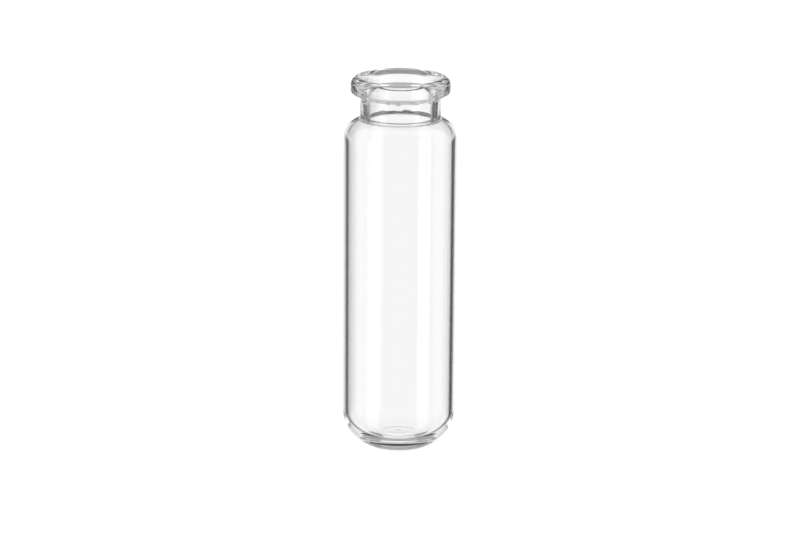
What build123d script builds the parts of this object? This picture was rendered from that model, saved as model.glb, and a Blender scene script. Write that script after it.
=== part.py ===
from build123d import *
import math
import os

# A 20 ml headspace sample vial, formed from one length of glass tube.
# It lies on its side: the axis runs along Y with the mouth towards +Y, the lowest
# line of its wall is at z = 0, and the origin is under the middle of its length.
# Sizes are in millimetres and angles in degrees.

# Body
HEIGHT = 76.0
BODY_DIAMETER = 22.25
WALL = 0.95

# Round bottom: a shallow crown turned up into the wall by a knuckle
CROWN_RADIUS = 14.0
KNUCKLE_RADIUS = 7.0
INSIDE_CROWN_RADIUS = 26.0
INSIDE_KNUCKLE_RADIUS = 4.6
BOTTOM_THICKNESS = 3.0

# Shoulder, which falls outwards from the neck and is rounded into the wall
SHOULDER_BELOW_MOUTH = 8.35
SHOULDER_FALL = 15.0
SHOULDER_RADIUS = 3.8
SHOULDER_WALL = 0.8
INSIDE_SHOULDER_RADIUS = 3.3
NECK_FOOT_RADIUS = 0.45

# Bead of glass inside the foot of the neck, measured from the foot's outer corner
BEAD_DIAMETER = 11.1
BEAD_ABOVE_FOOT = -0.1
BEAD_REACH = 0.6
BEAD_FOOT_DIAMETER = 12.9
BEAD_RADIUS = 0.4
BEAD_TOP_RADIUS = 0.4
BEAD_FOOT_RADIUS = 0.5

# Neck and crimp flange, whose flat land is flared down into the bore
NECK_DIAMETER = 15.8
BORE_DIAMETER = 12.7
FLANGE_DIAMETER = 19.5
FLANGE_HEIGHT = 3.8
MOUTH_DIAMETER = 16.1
FLARE_DEPTH = 0.95
UNDERSIDE_RISE = 20.0
MOUTH_EDGE_RADIUS = 0.6
FLARE_FOOT_RADIUS = 0.8
TOP_EDGE_RADIUS = 1.5
LOWER_EDGE_RADIUS = 0.7
NECK_TOP_RADIUS = 0.3

# Two roundings together take at most this share of the side between them.
ROUNDED_SHARE = 0.99

BODY_RADIUS = BODY_DIAMETER / 2
INSIDE_RADIUS = BODY_RADIUS - WALL
NECK_RADIUS = NECK_DIAMETER / 2
BORE_RADIUS = BORE_DIAMETER / 2
FLANGE_RADIUS = FLANGE_DIAMETER / 2

# The vial lies on the widest of its body and its flange.
AXIS_HEIGHT = max(BODY_RADIUS, FLANGE_RADIUS)


def rise(run, degrees):
    """How far a line at this slope rises over a run."""
    return run * math.tan(math.radians(degrees))


def dome(reach, crown_radius, knuckle_radius, floor):
    """The crown arc from the axis and the knuckle arc that turns it up at radius reach."""
    across = reach - knuckle_radius
    drop = math.sqrt((crown_radius - knuckle_radius) ** 2 - across**2)
    turn = math.degrees(math.atan2(across, drop))
    crown_height = floor + crown_radius
    crown = CenterArc((0, crown_height), crown_radius, -90, turn)
    knuckle = CenterArc((across, crown_height - drop), knuckle_radius, turn - 90, 90 - turn)
    return crown, knuckle


def limited(points, radii):
    """The corner radii, cut down where two roundings don't fit on the side between them."""
    corners = [Vector(point) for point in points]
    tangents = [0.0]
    for before, corner, after, radius in zip(corners, corners[1:], corners[2:], radii):
        half_angle = math.radians((before - corner).get_angle(after - corner)) / 2
        tangents.append(radius / math.tan(half_angle))
    tangents.append(0.0)
    shares = [1.0] * len(corners)
    for side in range(len(corners) - 1):
        length = (corners[side + 1] - corners[side]).length
        wanted = tangents[side] + tangents[side + 1]
        share = min(1.0, ROUNDED_SHARE * length / wanted)
        shares[side] = min(shares[side], share)
        shares[side + 1] = min(shares[side + 1], share)
    return [radius * share for radius, share in zip(radii, shares[1:])]


def glass_section():
    """Half of the section of the glass: x is the radius and y the height above the crown."""
    outside = dome(BODY_RADIUS, CROWN_RADIUS, KNUCKLE_RADIUS, 0)
    inside = dome(INSIDE_RADIUS, INSIDE_CROWN_RADIUS, INSIDE_KNUCKLE_RADIUS, BOTTOM_THICKNESS)

    # Shoulder, outside and inside, from the corners where its slopes meet the neck and the wall
    neck_foot = HEIGHT - SHOULDER_BELOW_MOUTH
    shoulder = neck_foot - rise(BODY_RADIUS - NECK_RADIUS, SHOULDER_FALL)
    shoulder_drop = SHOULDER_WALL / math.cos(math.radians(SHOULDER_FALL))
    bead_foot = neck_foot + rise(NECK_RADIUS - BEAD_FOOT_DIAMETER / 2, SHOULDER_FALL) - shoulder_drop
    inside_shoulder = bead_foot - rise(INSIDE_RADIUS - BEAD_FOOT_DIAMETER / 2, SHOULDER_FALL)
    bead = neck_foot + BEAD_ABOVE_FOOT

    # Flange, whose underside rises outwards
    neck_top = HEIGHT - FLANGE_HEIGHT
    lower_edge = neck_top + rise(FLANGE_RADIUS - NECK_RADIUS, UNDERSIDE_RISE)

    points_and_radii = [
        ((BODY_RADIUS, shoulder), SHOULDER_RADIUS),
        ((NECK_RADIUS, neck_foot), NECK_FOOT_RADIUS),
        ((NECK_RADIUS, neck_top), NECK_TOP_RADIUS),
        ((FLANGE_RADIUS, lower_edge), LOWER_EDGE_RADIUS),
        ((FLANGE_RADIUS, HEIGHT), TOP_EDGE_RADIUS),
        ((MOUTH_DIAMETER / 2, HEIGHT), MOUTH_EDGE_RADIUS),
        ((BORE_RADIUS, HEIGHT - FLARE_DEPTH), FLARE_FOOT_RADIUS),
        ((BORE_RADIUS, bead + BEAD_REACH), BEAD_TOP_RADIUS),
        ((BEAD_DIAMETER / 2, bead), BEAD_RADIUS),
        ((BEAD_FOOT_DIAMETER / 2, bead_foot), BEAD_FOOT_RADIUS),
        ((INSIDE_RADIUS, inside_shoulder), INSIDE_SHOULDER_RADIUS),
    ]
    corners = [point for point, _ in points_and_radii]
    points = [outside[1] @ 1, *corners, inside[1] @ 1]
    radii = limited(points, [radius for _, radius in points_and_radii])
    with BuildSketch() as half:
        with BuildLine():
            add([*outside, *inside])
            FilletPolyline(*points, radius=radii)
            Line((0, 0), (0, BOTTOM_THICKNESS))
        make_face()
    return half.sketch


def vial():
    """The whole vial: one solid of glass, lying along Y."""
    half = Pos(0, -HEIGHT / 2, AXIS_HEIGHT) * glass_section()
    axis = Axis((0, 0, AXIS_HEIGHT), (0, 1, 0))
    return revolve(half, axis=axis)


os.makedirs("parts", exist_ok=True)
export_step(vial(), "parts/vial.step")
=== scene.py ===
import logging
import math
from dataclasses import dataclass, field
from enum import Enum

import bmesh
import bpy
from mathutils import Matrix, Vector, noise


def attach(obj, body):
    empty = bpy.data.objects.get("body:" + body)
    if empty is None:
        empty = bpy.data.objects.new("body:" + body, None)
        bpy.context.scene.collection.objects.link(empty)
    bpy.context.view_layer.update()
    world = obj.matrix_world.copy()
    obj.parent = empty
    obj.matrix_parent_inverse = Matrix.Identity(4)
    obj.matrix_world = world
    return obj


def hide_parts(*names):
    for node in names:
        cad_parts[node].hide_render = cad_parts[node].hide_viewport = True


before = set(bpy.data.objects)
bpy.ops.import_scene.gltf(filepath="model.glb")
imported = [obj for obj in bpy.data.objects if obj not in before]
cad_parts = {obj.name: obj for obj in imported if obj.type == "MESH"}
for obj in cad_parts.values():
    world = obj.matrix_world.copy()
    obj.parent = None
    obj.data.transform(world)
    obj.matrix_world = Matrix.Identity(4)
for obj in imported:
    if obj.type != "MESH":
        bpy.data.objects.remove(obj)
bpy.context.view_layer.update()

# A clear glass headspace vial on its side: one piece of glass, a pale floor and soft studio light.
# Lengths are in metres and heights along the vial are measured from the crown of its bottom.
MM = 0.001
Point = tuple[float, float]

logging.basicConfig(level=logging.INFO, format="%(message)s")
log = logging.getLogger("vial")


class Side(Enum):
    """The two faces of the glass."""

    OUTSIDE = "outside"
    INSIDE = "inside"


@dataclass(frozen=True)
class Corner:
    """A corner of the section and the rounding that softens it.

    Attributes:
        place: The radius and the height of the sharp corner.
        rounding: The radius of the rounding.
    """

    place: Point
    rounding: float


@dataclass(frozen=True)
class Dome:
    """One face of the round bottom: a shallow crown turned up into the wall by a knuckle.

    Attributes:
        reach: The radius of the wall that the knuckle turns into.
        crown: The radius of the crown's arc.
        knuckle: The radius of the knuckle's arc.
        floor: The height of the crown's middle.
    """

    reach: float
    crown: float
    knuckle: float
    floor: float

    def points(self, steps: int) -> list[Point]:
        """Works out the points from the axis to the wall.

        Args:
            steps: The spans that each of the two arcs is cut into.

        Returns:
            The points, the one on the axis first.
        """
        across = self.reach - self.knuckle
        drop = math.sqrt((self.crown - self.knuckle) ** 2 - across**2)
        turn = math.atan2(across, drop)
        top = self.floor + self.crown
        crown = arc((0.0, top), self.crown, -math.pi / 2, turn - math.pi / 2, steps)
        knuckle = arc((across, top - drop), self.knuckle, turn - math.pi / 2, 0.0, steps)
        return crown + knuckle[1:]


def arc(centre: Point, radius: float, start: float, end: float, steps: int) -> list[Point]:
    """Cuts an arc into points.

    Args:
        centre: The arc's centre.
        radius: The arc's radius.
        start: The angle of its first point.
        end: The angle of its last point.
        steps: The number of spans.

    Returns:
        The points, both ends among them.
    """
    angles = [start + (end - start) * step / steps for step in range(steps + 1)]
    return [(centre[0] + radius * math.cos(a), centre[1] + radius * math.sin(a)) for a in angles]


def rounded(before: Point, corner: Corner, after: Point, step_angle: float) -> list[Point]:
    """Rounds one corner of the section.

    Args:
        before: The corner before it.
        corner: The corner to round.
        after: The corner after it.
        step_angle: The largest turn between two spans.

    Returns:
        The points of the rounding.
    """
    place = Vector(corner.place)
    back = (Vector(before) - place).normalized()
    onward = (Vector(after) - place).normalized()
    half = back.angle(onward) / 2
    centre = place + (back + onward).normalized() * (corner.rounding / math.sin(half))
    tangent = corner.rounding / math.tan(half)
    first = place + back * tangent - centre
    last = place + onward * tangent - centre
    turn = first.angle_signed(last)
    steps = max(4, math.ceil(abs(turn) / step_angle))
    start = math.atan2(first.y, first.x)
    return arc(tuple(centre), corner.rounding, start, start - turn, steps)


def joined(runs: list[list[Point]], longest: float) -> list[Point]:
    """Joins runs of points by straight lines, cut into short spans.

    Args:
        runs: The runs, in order.
        longest: The longest span that a straight line is cut into.

    Returns:
        One list of points.
    """
    points = list(runs[0])
    for run in runs[1:]:
        start, end = Vector(points[-1]), Vector(run[0])
        spans = max(1, math.ceil((end - start).length / longest))
        points += [tuple(start.lerp(end, k / spans)) for k in range(1, spans)]
        points += run
    return points


@dataclass
class VialGlass:
    """The vial's one piece of glass, spun from its section about the Y axis."""

    height: float = 76.0 * MM
    body_radius: float = 11.125 * MM
    wall: float = 0.95 * MM
    bottom_thickness: float = 3.0 * MM
    shoulder_below_mouth: float = 8.35 * MM
    shoulder_fall: float = math.radians(15.0)
    shoulder_wall: float = 0.8 * MM
    neck_radius: float = 7.9 * MM
    bore_radius: float = 6.35 * MM
    flange_radius: float = 9.75 * MM
    flange_height: float = 3.8 * MM
    lip_radius: float = 8.05 * MM
    flare_depth: float = 0.95 * MM
    bead_radius: float = 5.55 * MM
    bead_above_foot: float = -0.1 * MM
    bead_reach: float = 0.6 * MM
    bead_foot_radius: float = 6.45 * MM
    underside_rise: float = math.radians(20.0)
    ripple_depth: float = 0.05 * MM
    ripple_length: float = 1.0 * MM
    ripple_ramp: float = 1.5 * MM
    swirl_radius: float = 4.5 * MM
    swirl_pitch: float = 2.6 * MM
    swirl_depth: float = 0.06 * MM
    segments: int = 192
    dome_steps: int = 22
    step_angle: float = math.radians(7.5)
    longest_span: float = 1.6 * MM
    piece: bpy.types.Object | None = field(default=None, init=False)

    def outline(self) -> list[Point]:
        """Works out the section: up the outside to the mouth and down the inside.

        Returns:
            Points of radius and height, the first and the last on the axis.
        """
        inside_radius = self.body_radius - self.wall
        outer = Dome(self.body_radius, 14.0 * MM, 7.0 * MM, 0.0)
        inner = Dome(inside_radius, 26.0 * MM, 4.6 * MM, self.bottom_thickness)
        slope = math.tan(self.shoulder_fall)
        neck_foot = self.height - self.shoulder_below_mouth
        shoulder = neck_foot - (self.body_radius - self.neck_radius) * slope
        drop = self.shoulder_wall / math.cos(self.shoulder_fall)
        bead = neck_foot + self.bead_above_foot
        bead_foot = neck_foot + (self.neck_radius - self.bead_foot_radius) * slope - drop
        inside_shoulder = bead_foot - (inside_radius - self.bead_foot_radius) * slope
        neck_top = self.height - self.flange_height
        lower = neck_top + (self.flange_radius - self.neck_radius) * math.tan(self.underside_rise)
        corners = [
            Corner((self.body_radius, shoulder), 3.8 * MM),
            Corner((self.neck_radius, neck_foot), 0.45 * MM),
            Corner((self.neck_radius, neck_top), 0.3 * MM),
            Corner((self.flange_radius, lower), 0.7 * MM),
            Corner((self.flange_radius, self.height), 1.5 * MM),
            Corner((self.lip_radius, self.height), 0.6 * MM),
            Corner((self.bore_radius, self.height - self.flare_depth), 0.8 * MM),
            Corner((self.bore_radius, bead + self.bead_reach), 0.4 * MM),
            Corner((self.bead_radius, bead), 0.4 * MM),
            Corner((self.bead_foot_radius, bead_foot), 0.5 * MM),
            Corner((inside_radius, inside_shoulder), 3.3 * MM),
        ]
        outside = outer.points(self.dome_steps)
        inside = inner.points(self.dome_steps)[::-1]
        places = [outside[-1], *[corner.place for corner in corners], inside[0]]
        roundings = [
            rounded(before, corner, after, self.step_angle)
            for before, corner, after in zip(places, corners, places[2:])
        ]
        return joined([outside, *roundings, inside], self.longest_span)

    def build(self) -> bpy.types.Object:
        """Models the glass: draws the section by extrusion and spins it about the axis.

        Returns:
            The piece, with its place in its mesh.
        """
        axis_height = self.body_radius
        points = [Vector((r, h - self.height / 2, axis_height)) for r, h in self.outline()]
        bpy.ops.object.select_all(action="DESELECT")
        bpy.ops.mesh.primitive_plane_add(size=self.wall, location=points[0])
        piece = bpy.context.active_object
        piece.name = piece.data.name = "vial_glass"
        bpy.ops.object.transform_apply(location=True, rotation=True, scale=True)
        bpy.ops.object.mode_set(mode="EDIT")
        bpy.ops.mesh.select_mode(type="VERT")
        bpy.ops.mesh.select_all(action="SELECT")
        bpy.ops.mesh.merge(type="CENTER")
        for start, end in zip(points, points[1:]):
            bpy.ops.mesh.extrude_region_move(TRANSFORM_OT_translate={"value": end - start})
        bpy.ops.mesh.select_all(action="SELECT")
        bpy.ops.mesh.spin(
            steps=self.segments, angle=2 * math.pi, center=(0.0, 0.0, axis_height), axis=(0.0, 1.0, 0.0)
        )
        bpy.ops.mesh.select_all(action="SELECT")
        bpy.ops.mesh.remove_doubles(threshold=0.0005 * MM)
        bpy.ops.mesh.normals_make_consistent(inside=False)
        bpy.ops.object.mode_set(mode="OBJECT")
        bpy.ops.object.shade_smooth()
        self.piece = piece
        self.ripple()
        return piece

    def ripple(self) -> None:
        """Gives the glass the small unevenness of hot working, at the neck and in the floor."""
        foot = self.height - self.shoulder_below_mouth
        for vertex in self.piece.data.vertices:
            place = vertex.co
            radial = Vector((place.x, 0.0, place.z - self.body_radius))
            height = place.y + self.height / 2
            if height > foot and radial.length < self.neck_radius:
                share = min(1.0, (height - foot) / self.ripple_ramp)
                waver = noise.noise(Vector((place.x, place.y * 0.7, place.z)) / self.ripple_length)
                place -= radial.normalized() * (self.ripple_depth * share * (1 + waver) / 2)
            elif self.bottom_thickness * 0.9 < height < self.bottom_thickness * 1.4 and radial.length < self.swirl_radius:
                share = 1 - (radial.length / self.swirl_radius) ** 2
                swirl = math.cos(2 * math.pi * radial.length / self.swirl_pitch)
                place.y += self.swirl_depth * share * swirl
        self.piece.data.update()

    def dress(self, finish: "ClearGlass") -> None:
        """Gives the glass its finish and its place in the frame."""
        self.piece.data.materials.append(finish.material())
        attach(self.piece, "root")
        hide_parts("vial")


@dataclass(frozen=True)
class ClearGlass:
    """Colourless borosilicate glass."""

    ior: float = 1.5
    roughness: float = 0.0

    def material(self) -> bpy.types.Material:
        """Makes the glass material.

        Returns:
            The material.
        """
        material = bpy.data.materials.new("clear_glass")
        material.use_nodes = True
        shader = material.node_tree.nodes["Principled BSDF"]
        shader.inputs["Base Color"].default_value = (1.0, 1.0, 1.0, 1.0)
        shader.inputs["Roughness"].default_value = self.roughness
        shader.inputs["IOR"].default_value = self.ior
        shader.inputs["Transmission Weight"].default_value = 1.0
        return material


@dataclass
class Studio:
    """A bright field under the vial with a dark surround, soft boxes at both sides and the camera."""

    target: Vector = field(default_factory=lambda: Vector((0.1 * MM, -0.25 * MM, 11.125 * MM)))
    elevation: float = math.radians(15.0)
    distance: float = 0.62
    lens: float = 141.2
    roll: float = math.radians(0.38)

    def add_camera(self) -> None:
        """Adds the camera that looks down on the vial."""
        data = bpy.data.cameras.new("camera")
        data.lens = self.lens
        camera = bpy.data.objects.new("camera", data)
        bpy.context.collection.objects.link(camera)
        direction = Vector((0.0, math.sin(self.elevation), math.cos(self.elevation)))
        place = self.target + direction * self.distance
        turn = Matrix.Rotation(-self.elevation, 4, "X") @ Matrix.Rotation(self.roll, 4, "Z")
        camera.matrix_world = Matrix.Translation(place) @ turn
        bpy.context.scene.camera = camera

    def add_floor(self) -> None:
        """Adds the pale floor."""
        bpy.ops.object.select_all(action="DESELECT")
        bpy.ops.mesh.primitive_plane_add(size=6.0, location=(0.0, 0.0, -0.05 * MM))
        floor = bpy.context.active_object
        floor.name = "floor"
        bpy.ops.object.transform_apply(location=True, rotation=True, scale=True)
        material = bpy.data.materials.new("pale_floor")
        material.use_nodes = True
        nodes, links = material.node_tree.nodes, material.node_tree.links
        nodes.clear()
        path = nodes.new("ShaderNodeLightPath")
        diffuse = nodes.new("ShaderNodeBsdfDiffuse")
        diffuse.inputs["Color"].default_value = (0.5, 0.5, 0.5, 1.0)
        glow = nodes.new("ShaderNodeEmission")
        glow.inputs["Strength"].default_value = 0.78
        both = nodes.new("ShaderNodeAddShader")
        clear = nodes.new("ShaderNodeBsdfTransparent")
        mix = nodes.new("ShaderNodeMixShader")
        out = nodes.new("ShaderNodeOutputMaterial")
        links.new(diffuse.outputs[0], both.inputs[0])
        links.new(glow.outputs[0], both.inputs[1])
        links.new(path.outputs["Is Camera Ray"], mix.inputs[0])
        links.new(clear.outputs[0], mix.inputs[1])
        links.new(both.outputs[0], mix.inputs[2])
        links.new(mix.outputs[0], out.inputs["Surface"])
        floor.data.materials.append(material)

    def add_world(self) -> None:
        """Adds the surroundings: bands of light and dark by height, a painted shadow near straight down, and white to
        the camera.
        """
        world = bpy.data.worlds.new("studio")
        bpy.context.scene.world = world
        world.use_nodes = True
        nodes, links = world.node_tree.nodes, world.node_tree.links
        nodes.clear()
        place = nodes.new("ShaderNodeTexCoord")
        split = nodes.new("ShaderNodeSeparateXYZ")
        links.new(place.outputs["Generated"], split.inputs[0])

        def banded(axis: str, stops: list[tuple[float, float]]) -> bpy.types.NodeSocket:
            """Makes a level that depends on one part of the direction."""
            scale = nodes.new("ShaderNodeMapRange")
            scale.inputs["From Min"].default_value = -1.0
            links.new(split.outputs[axis], scale.inputs["Value"])
            ramp = nodes.new("ShaderNodeValToRGB")
            elements = ramp.color_ramp.elements
            while len(elements) < len(stops):
                elements.new(0.5)
            for element, (part, level) in zip(elements, stops):
                element.position = (part + 1) / 2
                element.color = (level, level, level, 1.0)
            links.new(scale.outputs[0], ramp.inputs[0])
            return ramp.outputs[0]

        def down(degrees: float) -> float:
            """The Z part of a direction at this angle from straight down."""
            return -math.cos(math.radians(degrees))

        heights = banded("Z", [(down(0), 1.0), (down(60), 1.0), (down(66), 0.82), (down(96), 0.82), (down(105), 0.45)])
        cards = banded("X", [(-0.9, 1.0), (-0.82, 0.12), (-0.45, 0.12), (-0.38, 0.72), (-0.22, 0.84), (-0.1, 1.0), (0.2, 1.0), (0.36, 0.92), (0.42, 0.07), (0.82, 0.09), (0.9, 1.0)])
        # Painted shadow: near straight down, the grey past Y 0.06 stands in for the shaded ground by the vial's
        # bottom, seen through the glass; the rest of this band sets the surround's levels along the vial's axis.
        ends_and_painted_shadow = banded("Y", [(-1.0, 0.22), (-0.72, 0.28), (-0.56, 1.0), (0.0, 1.0), (0.06, 0.42), (1.0, 0.42)])
        low = banded("Z", [(down(57), 1.0), (down(63), 0.0)])
        foot = banded("Y", [(-0.12, 1.0), (0.0, 0.3)])

        def multiplied(first: bpy.types.NodeSocket, second: bpy.types.NodeSocket, share: bpy.types.NodeSocket | None) -> bpy.types.NodeSocket:
            """Multiplies one level by another, by a share."""
            node = nodes.new("ShaderNodeMixRGB")
            node.blend_type = "MULTIPLY"
            node.inputs[0].default_value = 1.0
            if share is not None:
                links.new(share, node.inputs[0])
            links.new(first, node.inputs[1])
            links.new(second, node.inputs[2])
            return node.outputs[0]

        level = multiplied(multiplied(heights, cards, multiplied(low, foot, None)), ends_and_painted_shadow, low)
        path = nodes.new("ShaderNodeLightPath")
        mix = nodes.new("ShaderNodeMixRGB")
        links.new(path.outputs["Is Camera Ray"], mix.inputs[0])
        links.new(level, mix.inputs[1])
        mix.inputs[2].default_value = (1.0, 1.0, 1.0, 1.0)
        background = nodes.new("ShaderNodeBackground")
        links.new(mix.outputs[0], background.inputs["Color"])
        out = nodes.new("ShaderNodeOutputWorld")
        links.new(background.outputs[0], out.inputs["Surface"])

    def add_soft_box(self, name: str, angle: float, width: float, level: float) -> None:
        """Adds a long soft box beside the vial.

        Args:
            name: The lamp's name.
            angle: The turn about the vial's axis from straight up, to +X.
            width: The box's width.
            level: The light's radiance, where 1 is white.
        """
        reach, length = 0.5, 0.9
        data = bpy.data.lights.new(name, "AREA")
        data.shape = "RECTANGLE"
        data.size, data.size_y = width, length
        data.energy = level * math.pi * width * length
        lamp = bpy.data.objects.new(name, data)
        bpy.context.collection.objects.link(lamp)
        lamp.visible_camera = False
        turn = Matrix.Rotation(angle, 4, "Y")
        lamp.matrix_world = Matrix.Translation(self.target + Vector((0, -0.1, 0))) @ turn @ Matrix.Translation((0, 0, reach))

    def build(self) -> None:
        """Sets up the whole studio."""
        self.add_camera()
        self.add_floor()
        self.add_world()
        self.add_soft_box("left_box", math.radians(-57.5), 0.27, 0.9)
        self.add_soft_box("right_box", math.radians(52.5), 0.235, 0.9)
        bpy.context.scene.view_settings.view_transform = "Standard"
        bpy.context.scene.cycles.max_bounces = 28
        bpy.context.scene.cycles.transmission_bounces = 28
        bpy.context.scene.cycles.glossy_bounces = 28


def main() -> None:
    """Builds the vial and its studio."""
    Studio().build()
    glass = VialGlass()
    piece = glass.build()
    glass.dress(ClearGlass())
    log.info("%s: %d faces", piece.name, len(piece.data.polygons))


if __name__ == "__main__":
    main()
